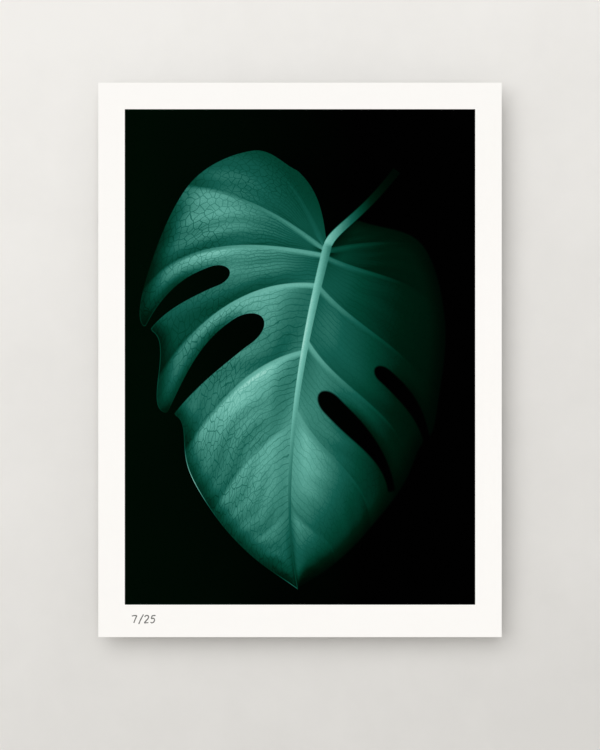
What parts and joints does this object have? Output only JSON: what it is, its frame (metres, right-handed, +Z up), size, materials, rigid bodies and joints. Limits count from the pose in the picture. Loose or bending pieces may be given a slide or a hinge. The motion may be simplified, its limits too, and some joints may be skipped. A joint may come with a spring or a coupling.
{
  "type": "mounted art print",
  "caption": "Unframed art print of a dark botanical leaf picture with plain borders, on a rigid board that a hidden sub-frame of box-tube rails holds off the wall.",
  "frame": {"origin": "middle of the top rail's underside, the face that hangs on the wall pegs", "axes": "+Z up the sheet, its longest side; +Y towards the wall, its shortest; +X to the right of someone looking at the picture"},
  "size_m": [0.342, 0.0208, 0.47],
  "materials": {
    "cotton_paper": "matt white cotton rag sheet, printed on its front with a picture in black and blue-green ink",
    "composite_board": "satin white-lacquered aluminium skins over a black plastic core",
    "foam_tape": "matt dark grey closed-cell acrylic foam",
    "mill_aluminium": "mill-finished extrusion with fine lengthwise lines",
    "nylon": "moulded black glass-filled nylon",
    "zinc_plated_steel": "bright zinc plate",
    "rubber": "matt black moulded rubber"
  },
  "bodies": {
    "root": {"print_sheet": "cotton_paper", "mount_board": "composite_board", "top_foam_tape": "foam_tape", "right_foam_tape": "foam_tape", "bottom_foam_tape": "foam_tape", "left_foam_tape": "foam_tape", "top_rail": "mill_aluminium", "right_rail": "mill_aluminium", "bottom_rail": "mill_aluminium", "left_rail": "mill_aluminium", "corner_key_top_right": "nylon", "corner_key_bottom_right": "nylon", "corner_key_bottom_left": "nylon", "corner_key_top_left": "nylon", "top_rail_screw_left": "zinc_plated_steel", "top_rail_screw_right": "zinc_plated_steel", "bottom_rail_screw_left": "zinc_plated_steel", "bottom_rail_screw_right": "zinc_plated_steel", "left_rail_screw_upper": "zinc_plated_steel", "left_rail_screw_lower": "zinc_plated_steel", "right_rail_screw_upper": "zinc_plated_steel", "right_rail_screw_lower": "zinc_plated_steel", "wall_pad_upper_left": "rubber", "wall_pad_lower_left": "rubber", "wall_pad_upper_right": "rubber", "wall_pad_lower_right": "rubber"}
  },
  "joints": []
}
